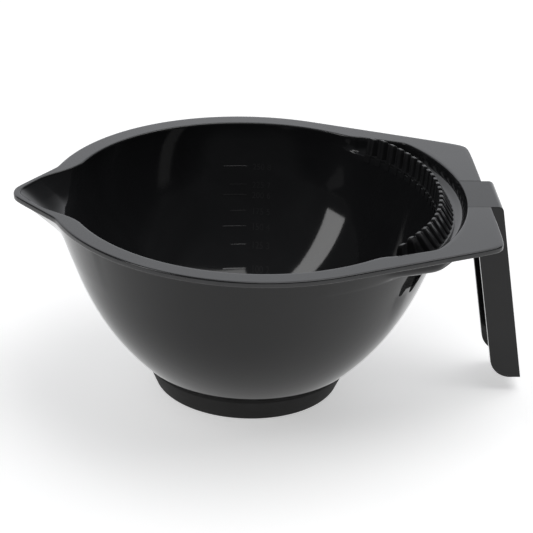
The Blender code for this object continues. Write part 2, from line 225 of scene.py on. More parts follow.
def pocket_section(angle):
    """(radius, depth) pairs down the pocket's wall, round its cove and over its ledge."""
    mouth, cove = pocket_shape(angle)
    width = mouth - MOUTH_RADIUS
    ledge_edge = min(LEDGE_EDGE, 0.2 * width)
    ledge_end = hollow_radius(POCKET_DEPTH) + ledge_edge
    cove_top = POCKET_DEPTH - cove
    pocket = [(mouth, RIM_EDGE)]
    pocket += [(mouth, RIM_EDGE + (cove_top - RIM_EDGE) * share) for share in shares(3)]
    for share in shares(8):
        turn = share * math.pi / 2
        pocket.append((mouth - cove * (1 - math.cos(turn)), cove_top + cove * math.sin(turn)))
    for share in shares(4):
        pocket.append((mouth - cove + (ledge_end - mouth + cove) * share, POCKET_DEPTH))
    for share in shares(4):
        turn = share * math.pi / 2
        drop = LEDGE_EDGE * (1 - math.cos(turn))
        pocket.append((hollow_radius(POCKET_DEPTH + drop) + ledge_edge * (1 - math.sin(turn)),
                       POCKET_DEPTH + drop))
    lowest = POCKET_DEPTH + LEDGE_EDGE
    last = len(pocket) - 1
    depths = [RIM_EDGE + (lowest - RIM_EDGE) * step / last for step in range(last + 1)]
    opened = min(width / POCKET_FULL_WIDTH, 1)
    section = []
    for (radius, depth), plain_depth in zip(pocket, depths):
        plain = inside_radius(angle, plain_depth)
        section.append((plain + opened * (radius - plain),
                        plain_depth + opened * (depth - plain_depth)))
    return section


def bowl_section(angle):
    """(radius, depth) pairs from the foot, up the outside, over the rim and down the hollow."""
    shoulder = outside_radius(angle, WALL_DEPTH) - WALL_FOOT_EDGE
    section = [
        (FOOT_RADIUS, RIM_HEIGHT - FOOT_BOTTOM),
        (FOOT_RADIUS, WALL_DEPTH),
        (shoulder, WALL_DEPTH),
        (shoulder + 0.7 * WALL_FOOT_EDGE, WALL_DEPTH - 0.3 * WALL_FOOT_EDGE),
    ]
    section += [(outside_radius(angle, depth), depth) for depth in WALL_ROW_DEPTHS]
    rim = rim_radius(angle)
    under = outside_radius(angle, RIM_THICKNESS)
    section += [(under, RIM_THICKNESS), ((under + rim - RIM_EDGE) / 2, RIM_THICKNESS)]
    for turn in UNDER_EDGE_TURNS:
        across = RIM_EDGE * (1 - math.sin(turn * DEGREE))
        rise = RIM_EDGE * (1 - math.cos(turn * DEGREE))
        section.append((rim - across, RIM_THICKNESS - rise))
    for turn in TOP_EDGE_TURNS:
        across = RIM_EDGE * (1 - math.cos(turn * DEGREE))
        section.append((rim - across, RIM_EDGE * (1 - math.sin(turn * DEGREE))))
    inner = pocket_section(angle)
    mouth = inner[0][0]
    outer_flat, inner_flat = rim - RIM_EDGE, mouth + RIM_EDGE
    for share in RIM_TOP_SHARES:
        section.append((outer_flat + (inner_flat - outer_flat) * share, 0))
    for turn in MOUTH_EDGE_TURNS:
        across = RIM_EDGE * (1 - math.sin(turn * DEGREE))
        section.append((mouth + across, RIM_EDGE * (1 - math.cos(turn * DEGREE))))
    section += inner
    for turn in HOLLOW_TURNS:
        depth = HOLLOW_DEPTH * math.sin(turn * DEGREE) ** (2 / HOLLOW_DEPTH_POWER)
        section.append((inside_radius(angle, depth), depth))
    return section


half_turn = [0]
while half_turn[-1] < 180:
    at_pocket = POCKET_COLUMNS[0] <= half_turn[-1] < POCKET_COLUMNS[1]
    fine = at_pocket or half_turn[-1] >= SPOUT_COLUMNS_START
    half_turn.append(half_turn[-1] + (FINE_COLUMN_STEP if fine else PLAIN_COLUMN_STEP))
half_turn[-1] = 180
column_angles = [angle * DEGREE for angle in half_turn]
column_angles += [-angle for angle in column_angles[-2:0:-1]]

# The section is spun round the axis, and each point then takes its own column's section.
shell = bmesh.new()
row_of = shell.verts.layers.int.new("row")
profile = [
    shell.verts.new((radius, 0, RIM_HEIGHT - depth)) for radius, depth in bowl_section(0)
]
for row, vert in enumerate(profile):
    vert[row_of] = row
wire = [shell.edges.new(pair) for pair in zip(profile, profile[1:])]
columns = len(column_angles)
bmesh.ops.spin(shell, geom=profile + wire, axis=(0, 0, 1), cent=(0, 0, 0),
               angle=2 * math.pi, steps=columns, use_merge=True)
sections = [bowl_section(angle) for angle in column_angles]
for vert in shell.verts:
    turned = math.atan2(vert.co.y, vert.co.x) / (2 * math.pi) * columns
    column = round(turned) % columns
    angle = column_angles[column]
    radius, depth = sections[column][vert[row_of]]
    vert.co = (radius * math.cos(angle), radius * math.sin(angle), RIM_HEIGHT - depth)
ends = bmesh.ops.holes_fill(shell, edges=shell.edges, sides=0)["faces"]
bmesh.ops.poke(shell, faces=ends)
bmesh.ops.recalc_face_normals(shell, faces=shell.faces)


def box_cutter(name, low, high, edge):
    """A box with rounded upright edges, for cutting a recess."""
    shape = bmesh.new()
    bmesh.ops.create_cube(shape, size=1)
    bmesh.ops.scale(shape, vec=[b - a for a, b in zip(low, high)], verts=shape.verts)
    middle = [(a + b) / 2 for a, b in zip(low, high)]
    bmesh.ops.translate(shape, vec=middle, verts=shape.verts)
    upright = [e for e in shape.edges if abs(e.verts[0].co.z - e.verts[1].co.z) > edge]
    bmesh.ops.bevel(shape, geom=upright, offset=edge, segments=3, affect="EDGES",
                    profile=0.5, material=-1)
    return shape_object(name, shape)


def shape_object(name, shape):
    """An object at the origin that holds this shape."""
    mesh = bpy.data.meshes.new(name)
    shape.to_mesh(mesh)
    shape.free()
    obj = bpy.data.objects.new(name, mesh)
    bpy.context.scene.collection.objects.link(obj)
    return obj


def cut_away(obj, cutters):
    """Cut each cutter from the object, apply its modifiers, and remove the cutters."""
    for cutter in cutters:
        boolean = obj.modifiers.new(cutter.name, "BOOLEAN")
        boolean.operation = "DIFFERENCE"
        boolean.solver = "EXACT"
        boolean.object = cutter
    bpy.context.view_layer.update()
    whole = obj.evaluated_get(bpy.context.evaluated_depsgraph_get())
    finished = bpy.data.meshes.new_from_object(whole)
    obj.modifiers.clear()
    obj.data = finished
    for cutter in cutters:
        bpy.data.objects.remove(cutter)


def moulded_plastic(name, tone, shine, roughness, haze, grain_scale, grain_depth):
    """Black plastic as it comes from a mould: slight flow marks, haze, wiping scratches."""
    material = bpy.data.materials.new(name)
    material.use_nodes = True
    tree = material.node_tree
    tree.nodes.clear()
    nodes, links = tree.nodes, tree.links

    colour_frame = nodes.new("NodeFrame")
    colour_frame.label = "Colour of the plastic"
    gloss_frame = nodes.new("NodeFrame")
    gloss_frame.label = "Gloss and haze"
    relief_frame = nodes.new("NodeFrame")
    relief_frame.label = "Moulded skin and scratches"

    place = nodes.new("ShaderNodeTexCoord")
    place.label = "Place on the piece"
    place.location = (-1500, 0)

    flow = nodes.new("ShaderNodeTexNoise")
    flow.label = "Flow of the melt"
    flow.parent = colour_frame
    flow.location = (-1200, 500)
    flow.inputs["Scale"].default_value = 28
    flow.inputs["Detail"].default_value = 4
    flow.inputs["Roughness"].default_value = 0.55
    flow.inputs["Distortion"].default_value = 0.8
    tones = nodes.new("ShaderNodeValToRGB")
    tones.label = "Darker and lighter pigment"
    tones.parent = colour_frame
    tones.location = (-950, 500)
    dark, light = tones.color_ramp.elements
    dark.position, light.position = 0.3, 0.7
    dark.color = (*[value * 0.8 for value in tone], 1)
    light.color = (*[value * 1.25 for value in tone], 1)
    worn = nodes.new("ShaderNodeAttribute")
    worn.label = "Outward corners"
    worn.parent = colour_frame
    worn.location = (-1200, 250)
    worn.attribute_name = "edge_wear"
    rubbed = nodes.new("ShaderNodeTexNoise")
    rubbed.label = "Where corners are rubbed"
    rubbed.parent = colour_frame
    rubbed.location = (-1200, 50)
    rubbed.inputs["Scale"].default_value = 190
    rubbed.inputs["Detail"].default_value = 3
    wear = nodes.new("ShaderNodeMath")
    wear.label = "Rubbed corners"
    wear.parent = colour_frame
    wear.location = (-950, 200)
    wear.operation = "MULTIPLY"
    wear_mix = nodes.new("ShaderNodeMix")
    wear_mix.label = "Corners paler"
    wear_mix.parent = colour_frame
    wear_mix.location = (-650, 400)
    wear_mix.data_type = "RGBA"
    wear_mix.inputs["B"].default_value = (*[value * 2.2 + 0.004 for value in tone], 1)

    wiped = nodes.new("ShaderNodeTexNoise")
    wiped.label = "Wiped and handled areas"
    wiped.parent = gloss_frame
    wiped.location = (-1200, -200)
    wiped.inputs["Scale"].default_value = 45
    wiped.inputs["Detail"].default_value = 6
    wiped.inputs["Roughness"].default_value = 0.6
    gloss = nodes.new("ShaderNodeMapRange")
    gloss.label = "Gloss to haze"
    gloss.parent = gloss_frame
    gloss.location = (-950, -200)
    gloss.inputs["From Min"].default_value = 0.35
    gloss.inputs["From Max"].default_value = 0.75
    gloss.inputs["To Min"].default_value = roughness
    gloss.inputs["To Max"].default_value = roughness + haze

    skin = nodes.new("ShaderNodeTexNoise")
    skin.label = "Fine moulded skin"
    skin.parent = relief_frame
    skin.location = (-1200, -500)
    skin.inputs["Scale"].default_value = grain_scale
    skin.inputs["Detail"].default_value = 2
    stretch = nodes.new("ShaderNodeMapping")
    stretch.label = "Scratches run round"
    stretch.parent = relief_frame
    stretch.location = (-1450, -750)
    stretch.inputs["Rotation"].default_value = (0.3, 0.5, 0.9)
    stretch.inputs["Scale"].default_value = (60, 900, 700)
    scratch = nodes.new("ShaderNodeTexNoise")
    scratch.label = "Hairline scratches"
    scratch.parent = relief_frame
    scratch.location = (-1200, -750)
    scratch.inputs["Scale"].default_value = 1
    scratch.inputs["Detail"].default_value = 2
    scratch_lines = nodes.new("ShaderNodeMapRange")
    scratch_lines.label = "Only the deepest show"
    scratch_lines.parent = relief_frame
    scratch_lines.location = (-950, -750)
    scratch_lines.inputs["From Min"].default_value = 0.66
    scratch_lines.inputs["From Max"].default_value = 0.8
    scratch_lines.inputs["To Min"].default_value = 0
    scratch_lines.inputs["To Max"].default_value = -0.6
    height = nodes.new("ShaderNodeMath")
    height.label = "Skin and scratches"
    height.parent = relief_frame
    height.location = (-700, -600)
    height.operation = "ADD"
    bump = nodes.new("ShaderNodeBump")
    bump.label = "Relief"
    bump.parent = relief_frame
    bump.location = (-450, -600)
    bump.inputs["Strength"].default_value = 0.35
    bump.inputs["Distance"].default_value = grain_depth

    shader = nodes.new("ShaderNodeBsdfPrincipled")
    shader.label = "Black plastic"
    shader.location = (-200, 0)
    shader.inputs["IOR"].default_value = 1.5
    shader.inputs["Specular IOR Level"].default_value = shine
    output = nodes.new("ShaderNodeOutputMaterial")
    output.label = "Surface"
    output.location = (100, 0)

    links.new(place.outputs["Object"], flow.inputs["Vector"])
    links.new(flow.outputs["Fac"], tones.inputs["Fac"])
    links.new(place.outputs["Object"], rubbed.inputs["Vector"])
    links.new(worn.outputs["Fac"], wear.inputs[0])
    links.new(rubbed.outputs["Fac"], wear.inputs[1])
    links.new(wear.outputs["Value"], wear_mix.inputs["Factor"])
    links.new(tones.outputs["Color"], wear_mix.inputs["A"])
    links.new(wear_mix.outputs["Result"], shader.inputs["Base Color"])
    links.new(place.outputs["Object"], wiped.inputs["Vector"])
    links.new(wiped.outputs["Fac"], gloss.inputs["Value"])
    links.new(gloss.outputs["Result"], shader.inputs["Roughness"])
    links.new(place.outputs["Object"], skin.inputs["Vector"])
    links.new(place.outputs["Object"], stretch.inputs["Vector"])
    links.new(stretch.outputs["Vector"], scratch.inputs["Vector"])
    links.new(scratch.outputs["Fac"], scratch_lines.inputs["Value"])
    links.new(skin.outputs["Fac"], height.inputs[0])
    links.new(scratch_lines.outputs["Result"], height.inputs[1])
    links.new(height.outputs["Value"], bump.inputs["Height"])
    links.new(bump.outputs["Normal"], shader.inputs["Normal"])
    links.new(shader.outputs["BSDF"], output.inputs["Surface"])
    return material


wall_plastic = moulded_plastic(
    "bowl_wall_plastic", tone=(0.005, 0.0051, 0.0053), shine=0.325, roughness=0.035,
    haze=0.02, grain_scale=900, grain_depth=0.00001)
# The rim's copy of the plastic is lighter in colour than the wall's: painted light, for the
# overhead light that the rim's top and edge catch.
lit_rim_plastic = moulded_plastic(
    "bowl_rim_plastic_painted_lighter", tone=(0.012, 0.0122, 0.0130), shine=0.5, roughness=0.13,
    haze=0.06, grain_scale=900, grain_depth=0.00003)
hollow_plastic = moulded_plastic(
    "bowl_hollow_plastic", tone=(0.016, 0.0163, 0.0175), shine=0.5, roughness=0.06,
    haze=0.03, grain_scale=260, grain_depth=0.00001)
# Rows from the rim's under edge on take the lighter copy, so the rim's edge is painted lighter
# as well.
rim_start = FOOT_ROWS + len(WALL_ROW_DEPTHS) + UNDER_RIM_ROWS
hollow_start = len(bowl_section(0)) - len(pocket_section(0)) - len(HOLLOW_TURNS)
for face in shell.faces:
    row = min(vert[row_of] for vert in face.verts)
    face.material_index = (row >= rim_start) + (row >= hollow_start)
bowl = shape_object("bowl_body", shell)
for plastic in (wall_plastic, lit_rim_plastic, hollow_plastic):
    bowl.data.materials.append(plastic)
above = RIM_HEIGHT + CUTTER_OVERRUN
notch = box_cutter(
    "handle_notch",
    (HANDLE_NOTCH_START, -HANDLE_NOTCH_HALF_WIDTH, RIM_HEIGHT - HANDLE_NOTCH_DEPTH),
    (PLATE_END + CUTTER_OVERRUN, HANDLE_NOTCH_HALF_WIDTH, above),
    RECESS_CORNER,
)
seat = box_cutter(
    "tongue_seat",
    (MOUTH_RADIUS, -HANDLE_NOTCH_HALF_WIDTH, RIM_HEIGHT - TONGUE_SEAT_DEPTH),
    (HANDLE_NOTCH_START + 0.1 * CUTTER_OVERRUN, HANDLE_NOTCH_HALF_WIDTH, above),
    RECESS_CORNER,
)
cut_away(bowl, [notch, seat])


FULLY_WORN_CORNER = 25 * DEGREE


def mark_worn_edges(mesh):
    """Store, for each vertex, how much of an outward corner it lies on."""
    shape = bmesh.new()
    shape.from_mesh(mesh)
    worn = shape.verts.layers.float.new("edge_wear")
    for vert in shape.verts:
        corner = max((edge.calc_face_angle_signed(0) for edge in vert.link_edges), default=0)
        vert[worn] = min(max(corner / FULLY_WORN_CORNER, 0), 1)
    shape.to_mesh(mesh)
    shape.free()


def finish_surface(obj, sharp_angle):
    """Smooth shading with its hard edges kept, and the wear attribute."""
    obj.data.shade_smooth()
    obj.data.set_sharp_from_angle(angle=sharp_angle)
    mark_worn_edges(obj.data)


finish_surface(bowl, 50 * DEGREE)
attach(bowl, "root")
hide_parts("bowl")

# Measuring marks: fine relief moulded on the inside of the far wall, long and short
# strokes beside two columns of plain numerals. They are part of the same moulding.
MARK_RELIEF = 0.06 * MM
MARK_ROOT = 0.3
MARK_TAPER = 0.35
MARK_WIDTH = 0.55 * MM
MARK_START = 88 * DEGREE
MARKS = (
    # height of the stroke, its length, and its numerals
    (54.4 * MM, 8.6 * MM, "250", "8"),
    (48.0 * MM, 6.4 * MM, "225", "7"),
    (44.4 * MM, 8.6 * MM, "200", "6"),
    (39.0 * MM, 6.0 * MM, "175", "5"),
    (34.0 * MM, 8.6 * MM, "150", "4"),
    (28.3 * MM, 5.6 * MM, "125", "3"),
    (21.4 * MM, 8.4 * MM, "100", "2"),
)
NUMERAL_HEIGHT = 3.0 * MM
NUMERAL_INSET = (2.0 * MM, 7.4 * MM)
NUMERAL_HALF_THICKNESS = 0.05

marks = bmesh.new()


def on_inner_wall(along, up, lift):
    """Point on the inner wall, this far clockwise along it from the marks' line."""
    radius = hollow_radius(RIM_HEIGHT - up)
    angle = MARK_START - along / radius
    return Vector(((radius - lift) * math.cos(angle), (radius - lift) * math.sin(angle), up))


for height, length, millilitres, ounces in MARKS:
    stroke = bmesh.new()
    bmesh.ops.create_grid(stroke, x_segments=12, y_segments=2, size=0.5)
    rise = bmesh.ops.extrude_face_region(stroke, geom=stroke.faces[:])["geom"]
    top = [item for item in rise if isinstance(item, bmesh.types.BMVert)]
    bmesh.ops.translate(stroke, vec=(0, 0, 1), verts=top)
    for vert in stroke.verts:
        taper = 1 - MARK_TAPER * vert.co.z
        lift = MARK_RELIEF * ((1 + MARK_ROOT) * vert.co.z - MARK_ROOT)
        vert.co = on_inner_wall(-(vert.co.x + 0.5) * length,
                                height + vert.co.y * MARK_WIDTH * taper, lift)
    bmesh.ops.recalc_face_normals(stroke, faces=stroke.faces)
    made = bpy.data.meshes.new("stroke")
    stroke.to_mesh(made)
    stroke.free()
    marks.from_mesh(made)
    bpy.data.meshes.remove(made)
    for numeral, inset in zip((millilitres, ounces), NUMERAL_INSET):
        writing = bpy.data.curves.new("numeral", "FONT")
        writing.body = numeral
        writing.size = 1
        writing.extrude = NUMERAL_HALF_THICKNESS
        writing.resolution_u = 4
        text_object = bpy.data.objects.new("numeral", writing)
        made = bpy.data.meshes.new_from_object(text_object)
        for vert in made.vertices:
            up = height + (vert.co.y - 0.35) * NUMERAL_HEIGHT
            rise = 0.5 * (1 + MARK_ROOT) * vert.co.z / NUMERAL_HALF_THICKNESS
            lift = MARK_RELIEF * (0.5 * (1 - MARK_ROOT) + rise)
            vert.co = on_inner_wall(inset + vert.co.x * NUMERAL_HEIGHT, up, lift)
        marks.from_mesh(made)
        bpy.data.objects.remove(text_object)
        bpy.data.curves.remove(writing)
        bpy.data.meshes.remove(made)
bmesh.ops.remove_doubles(marks, verts=marks.verts, dist=0.002 * MM)
bmesh.ops.recalc_face_normals(marks, faces=marks.faces)
scale_marks = shape_object("bowl_scale_marks", marks)
finish_surface(scale_marks, 30 * DEGREE)
scale_marks.data.materials.append(moulded_plastic(
    "scale_mark_plastic", tone=(0.016, 0.016, 0.017), shine=0.5, roughness=0.14,
    haze=0.06, grain_scale=700, grain_depth=0.00001))
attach(scale_marks, "root")

# Brush comb: a row of upright teeth on a thin curved strip, moulded in the same black
# plastic and seated on the pocket's ledge, where a tint brush is wiped. Each tooth goes
# on down the wall as a low rib.
TOOTH_PITCH = 3.71 * MM
TOOTH_WIDTH = 1.85 * MM
TEETH_EACH_SIDE = 12
TOOTH_EDGE = 0.32 * MM
COMB_END_ANGLE = 45.5 * DEGREE
COMB_TOP = 2.5 * MM
COMB_FRONT = 63.0 * MM
COMB_CREST = (63.5 * MM, 64.6 * MM)
COMB_BACK = 69.2 * MM
COMB_COVE_CLEARANCE = 0.3 * MM
END_TOOTH_DROP = 0.8 * MM
STRIP_THICKNESS = 0.8 * MM
SEAT_GAP = 0.1 * MM
RIB_FOOT_DEPTH = 7.5 * MM
RIB_LIFT = 0.16 * MM
RIB_EDGE = 0.8 * RIB_LIFT


def comb_back(angle):
    """Radius of the comb's back, kept clear of the cove at the pocket's foot."""
    mouth, cove = pocket_shape(angle)
    return min(COMB_BACK, mouth - cove - COMB_COVE_CLEARANCE)


comb_shape = bmesh.new()
strip_bottom = RIM_HEIGHT - POCKET_DEPTH + SEAT_GAP
strip_top = strip_bottom + STRIP_THICKNESS
strip_profile = [
    comb_shape.verts.new((x, 0, z))
    for x, z in (
        (COMB_FRONT, strip_bottom),
        (COMB_BACK, strip_bottom),
        (COMB_BACK, strip_top),
        (COMB_FRONT, strip_top),
    )
]
strip_face = comb_shape.faces.new(strip_profile)
bmesh.ops.rotate(comb_shape, cent=(0, 0, 0), matrix=Matrix.Rotation(-COMB_END_ANGLE, 3, "Z"),
                 verts=strip_profile)
bmesh.ops.spin(comb_shape, geom=[strip_face] + strip_face.edges[:] + strip_profile,
               axis=(0, 0, 1), cent=(0, 0, 0), angle=2 * COMB_END_ANGLE,
               steps=round(2 * COMB_END_ANGLE / DEGREE))
for vert in comb_shape.verts:
    angle = math.atan2(vert.co.y, vert.co.x)
    radius = min(vert.co.xy.length, comb_back(angle))
    vert.co = (radius * math.cos(angle), radius * math.sin(angle), vert.co.z)
bmesh.ops.remove_doubles(comb_shape, verts=comb_shape.verts, dist=0.001 * MM)

for number in range(-TEETH_EACH_SIDE, TEETH_EACH_SIDE + 1):
    tooth = bmesh.new()
    bmesh.ops.create_cube(tooth, size=1)
    bmesh.ops.subdivide_edges(tooth, edges=tooth.edges[:], cuts=3, use_grid_fill=True)
    for vert in tooth.verts:
        y = number * TOOTH_PITCH + vert.co.y * TOOTH_WIDTH
        through, up = vert.co.x + 0.5, vert.co.z + 0.5
        angle = math.asin(y / COMB_CREST[0])
        foot_back = comb_back(angle)
        front = COMB_FRONT + (COMB_CREST[0] - COMB_FRONT) * up
        crest_back = min(COMB_CREST[1], foot_back - SEAT_GAP)
        back = foot_back + (crest_back - foot_back) * up
        radius = front + (back - front) * through
        drop = END_TOOTH_DROP if abs(number) == TEETH_EACH_SIDE else 0
        z = strip_bottom + (RIM_HEIGHT + COMB_TOP - drop - strip_bottom) * up
        vert.co = (math.sqrt(radius * radius - y * y), y, z)
    hard = [edge for edge in tooth.edges if edge.calc_face_angle(0) > 40 * DEGREE]
    bmesh.ops.bevel(tooth, geom=hard, offset=TOOTH_EDGE, segments=3, affect="EDGES",
                    profile=0.5, material=-1, clamp_overlap=True)
    bmesh.ops.recalc_face_normals(tooth, faces=tooth.faces)
    made = bpy.data.meshes.new("tooth")
    tooth.to_mesh(made)
    tooth.free()
    comb_shape.from_mesh(made)
    bpy.data.meshes.remove(made)

    rib = bmesh.new()
    bmesh.ops.create_cube(rib, size=1)
    bmesh.ops.subdivide_edges(rib, edges=rib.edges[:], cuts=3, use_grid_fill=True)
    for vert in rib.verts:
        y = number * TOOTH_PITCH + vert.co.y * TOOTH_WIDTH
        z = strip_top - (vert.co.z + 0.5) * (strip_top - RIM_HEIGHT + RIB_FOOT_DEPTH)
        wall = hollow_radius(RIM_HEIGHT - z) - SEAT_GAP / 2
        radius = wall - (vert.co.x + 0.5) * RIB_LIFT
        vert.co = (math.sqrt(radius * radius - y * y), y, z)
    bmesh.ops.recalc_face_normals(rib, faces=rib.faces)
    hard = [edge for edge in rib.edges if edge.calc_face_angle(0) > 40 * DEGREE]
    bmesh.ops.bevel(rib, geom=hard, offset=RIB_EDGE, segments=3, affect="EDGES",
                    profile=0.5, material=-1, clamp_overlap=True)
    made = bpy.data.meshes.new("rib")
    rib.to_mesh(made)
    rib.free()
    comb_shape.from_mesh(made)
    bpy.data.meshes.remove(made)

comb = shape_object("comb_insert", comb_shape)
finish_surface(comb, 45 * DEGREE)
comb.data.materials.append(moulded_plastic(
    "comb_plastic", tone=(0.021, 0.0212, 0.0224), shine=0.36, roughness=0.18,
    haze=0.06, grain_scale=700, grain_depth=0.00002))
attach(comb, "root")
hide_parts("brush_comb")

# Handle: a black plastic channel, open towards the bowl, that hangs from a tongue let
# into the plate flush with its top. It is held by the tongue's press fit.
HANDLE_WIDTH = 22.3 * MM
HANDLE_WALL = 2.2 * MM
HANDLE_BOTTOM = 5.1 * MM
HANDLE_TOP_X = 84.7 * MM
HANDLE_TOP_ROUNDING = 2 * MM
HANDLE_LEAN = 0.171
HANDLE_EDGE = 0.25 * MM
CHEEK_DEPTH = 10 * MM
CHEEK_CORNER = 7.3 * MM
CHEEK_SHOULDER = 56 * MM
CHEEK_SHOULDER_ROUNDING = 3 * MM
CHEEK_TOP_DEPTH = 6 * MM
CHANNEL_ROOF = 2.6 * MM
TONGUE_THICKNESS = 1.2 * MM
TONGUE_START = 70 * MM
TONGUE_END_RADIUS = 73.2 * MM
CHEEK_START = 76.5 * MM


def back_x(z):
    """X of the handle's leaning back at this height."""
    return HANDLE_TOP_X + HANDLE_LEAN * (RIM_HEIGHT - z)


def upright_slab(corners, half_width):
    """A slab of an (x, z, rounding radius) outline, centred on the plane Y = 0."""
    shape = bmesh.new()
    outline = [shape.verts.new((x, -half_width, z)) for x, z, _ in corners]
    face = shape.faces.new(outline)
    swept = bmesh.ops.extrude_face_region(shape, geom=[face])["geom"]
    moved = [item for item in swept if isinstance(item, bmesh.types.BMVert)]
    bmesh.ops.translate(shape, vec=(0, 2 * half_width, 0), verts=moved)
    for x, z, rounding in corners:
        if rounding == 0:
            continue
        ridge = [
            edge for edge in shape.edges
            if all(abs(v.co.x - x) + abs(v.co.z - z) < 0.001 * MM for v in edge.verts)
        ]
        opening = math.pi - ridge[0].calc_face_angle()
        setback = rounding / math.tan(opening / 2)
        bmesh.ops.bevel(shape, geom=ridge, offset=setback, segments=10, affect="EDGES",
                        profile=0.5, material=-1)
    bmesh.ops.recalc_face_normals(shape, faces=shape.faces)
    return shape


handle = shape_object("handle_grip", upright_slab(
    [
        (TONGUE_START, RIM_HEIGHT, 0),
        (back_x(RIM_HEIGHT), RIM_HEIGHT, HANDLE_TOP_ROUNDING),
        (back_x(HANDLE_BOTTOM), HANDLE_BOTTOM, 0),
        (back_x(HANDLE_BOTTOM) - CHEEK_DEPTH, HANDLE_BOTTOM, CHEEK_CORNER),
        (back_x(CHEEK_SHOULDER) - CHEEK_DEPTH, CHEEK_SHOULDER, CHEEK_SHOULDER_ROUNDING),
        (CHEEK_START, RIM_HEIGHT - CHEEK_TOP_DEPTH, 0),
        (CHEEK_START, RIM_HEIGHT - TONGUE_THICKNESS, 0),
        (TONGUE_START, RIM_HEIGHT - TONGUE_THICKNESS, 0),
    ],
    HANDLE_WIDTH / 2,
))
channel_top = RIM_HEIGHT - CHANNEL_ROOF
below = HANDLE_BOTTOM - CUTTER_OVERRUN
wall_across = HANDLE_WALL * math.hypot(1, HANDLE_LEAN)
channel = shape_object("handle_channel", upright_slab(
    [
        (MOUTH_RADIUS, channel_top, 0),
        (back_x(channel_top) - wall_across, channel_top, HANDLE_TOP_ROUNDING),
        (back_x(below) - wall_across, below, 0),
        (MOUTH_RADIUS, below, 0),
    ],
    HANDLE_WIDTH / 2 - HANDLE_WALL,
))
pocket_edge = bmesh.new()
bmesh.ops.create_cone(pocket_edge, cap_ends=True, segments=720, radius1=TONGUE_END_RADIUS,
                      radius2=TONGUE_END_RADIUS, depth=2 * CUTTER_OVERRUN,
                      matrix=Matrix.Translation((0, 0, RIM_HEIGHT)))
cut_away(handle, [channel, shape_object("pocket_edge", pocket_edge)])
handle.data.shade_smooth()
handle.data.set_sharp_from_angle(angle=60 * DEGREE)
soften = handle.modifiers.new("soft_edges", "BEVEL")
soften.width = HANDLE_EDGE
soften.segments = 3
soften.limit_method = "ANGLE"
soften.angle_limit = 35 * DEGREE
flatten = handle.modifiers.new("flat_faces", "WEIGHTED_NORMAL")
flatten.keep_sharp = False
cut_away(handle, [])
mark_worn_edges(handle.data)
handle.data.materials.clear()
handle.data.materials.append(moulded_plastic(
    "handle_plastic", tone=(0.004, 0.0041, 0.0045), shine=0.34, roughness=0.12,
    haze=0.05, grain_scale=1200, grain_depth=0.00003))
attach(handle, "root")
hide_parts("handle")

# Non-slip base: a cup of matte black rubber pressed over the bowl's foot. Its tread is
# flat with one shallow ring groove, and a fine neck runs round its top.
BASE_TOP_RADIUS = 35.4 * MM
BASE_HEIGHT = 9.4 * MM
BASE_TREAD_RADIUS = 31.0 * MM
BASE_TREAD_ROUNDING = 1.4 * MM
BASE_NECK_DEPTH = 0.16 * MM
BASE_NECK_HEIGHT = 0.8 * MM
BASE_NECK_SLOPE = 0.3 * MM
BASE_EDGE = 0.35 * MM
BASE_FLOOR = 2.3 * MM
BASE_BORE = 29.9 * MM
GROOVE_INNER = 22 * MM
GROOVE_OUTER = 25 * MM
GROOVE_DEPTH = 0.8 * MM
GROOVE_DRAFT = 0.3 * MM

base_shape = bmesh.new()
base_profile = [
    (0, BASE_FLOOR),
    (BASE_BORE, BASE_FLOOR),
    (BASE_BORE, BASE_HEIGHT),
    (BASE_TOP_RADIUS - BASE_NECK_DEPTH, BASE_HEIGHT),
    (BASE_TOP_RADIUS - BASE_NECK_DEPTH, BASE_HEIGHT - BASE_NECK_HEIGHT),
    (BASE_TOP_RADIUS, BASE_HEIGHT - BASE_NECK_HEIGHT - BASE_NECK_SLOPE),
    (BASE_TREAD_RADIUS + BASE_TREAD_ROUNDING, BASE_TREAD_ROUNDING),
    (BASE_TREAD_RADIUS + 0.7 * BASE_TREAD_ROUNDING, 0.3 * BASE_TREAD_ROUNDING),
    (BASE_TREAD_RADIUS, 0),
    (GROOVE_OUTER, 0),
    (GROOVE_OUTER - GROOVE_DRAFT, GROOVE_DEPTH),
    (GROOVE_INNER + GROOVE_DRAFT, GROOVE_DEPTH),
    (GROOVE_INNER, 0),
    (0, 0),
]
base_points = [base_shape.verts.new((x, 0, z)) for x, z in base_profile]
base_wire = [base_shape.edges.new(pair) for pair in zip(base_points, base_points[1:])]
bmesh.ops.spin(base_shape, geom=base_points + base_wire, axis=(0, 0, 1), cent=(0, 0, 0),
               angle=2 * math.pi, steps=180, use_merge=True)
bmesh.ops.remove_doubles(base_shape, verts=base_shape.verts, dist=0.001 * MM)
bmesh.ops.recalc_face_normals(base_shape, faces=base_shape.faces)
rings = [edge for edge in base_shape.edges if edge.calc_face_angle(0) > 30 * DEGREE]
bmesh.ops.bevel(base_shape, geom=rings, offset=BASE_EDGE, segments=4, affect="EDGES",
                profile=0.5, material=-1)
base = shape_object("rubber_base", base_shape)
finish_surface(base, 40 * DEGREE)

